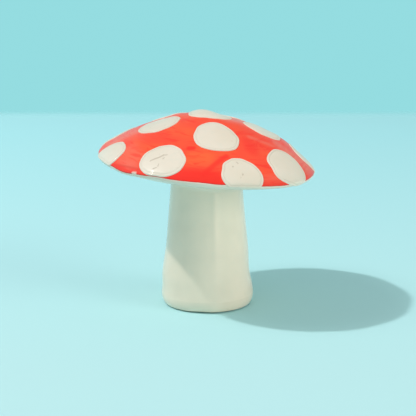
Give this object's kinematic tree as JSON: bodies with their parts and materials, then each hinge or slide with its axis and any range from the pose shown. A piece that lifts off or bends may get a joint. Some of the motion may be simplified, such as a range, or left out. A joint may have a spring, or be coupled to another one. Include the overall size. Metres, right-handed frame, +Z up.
{
  "type": "ceramic mushroom ornament",
  "caption": "Free-standing hollow ceramic toadstool ornament: tapering stem, slanted domed cap with raised pale spots.",
  "frame": {"origin": "centre of the foot, on the surface the ornament stands on", "axes": "+Z up along the stem's axis; the cap slants down towards +X; -Y faces the picture's camera"},
  "size_m": [0.1104, 0.1108, 0.0998],
  "materials": {
    "red_glaze": "gloss, brushed on, darker where it pools at the rim",
    "cream_glaze": "gloss, fine cracks and pits on the spots",
    "bare_clay": "glazed up the side, bare and matt underneath"
  },
  "bodies": {
    "root": {"cap_dome": "red_glaze", "cap_underside": "cream_glaze", "neck_coil": "cream_glaze", "stem_wall": "cream_glaze", "stem_base": "bare_clay", "spot_crown": "cream_glaze", "spot_upper_left": "cream_glaze", "spot_upper_front": "cream_glaze", "spot_upper_right": "cream_glaze", "spot_upper_back_right": "cream_glaze", "spot_upper_back_left": "cream_glaze", "spot_rim_left": "cream_glaze", "spot_rim_front_left": "cream_glaze", "spot_rim_front": "cream_glaze", "spot_rim_front_right": "cream_glaze", "spot_rim_right": "cream_glaze", "spot_rim_back_right": "cream_glaze", "spot_rim_back": "cream_glaze", "spot_rim_back_left": "cream_glaze", "spot_rim_far_left": "cream_glaze"}
  },
  "joints": []
}
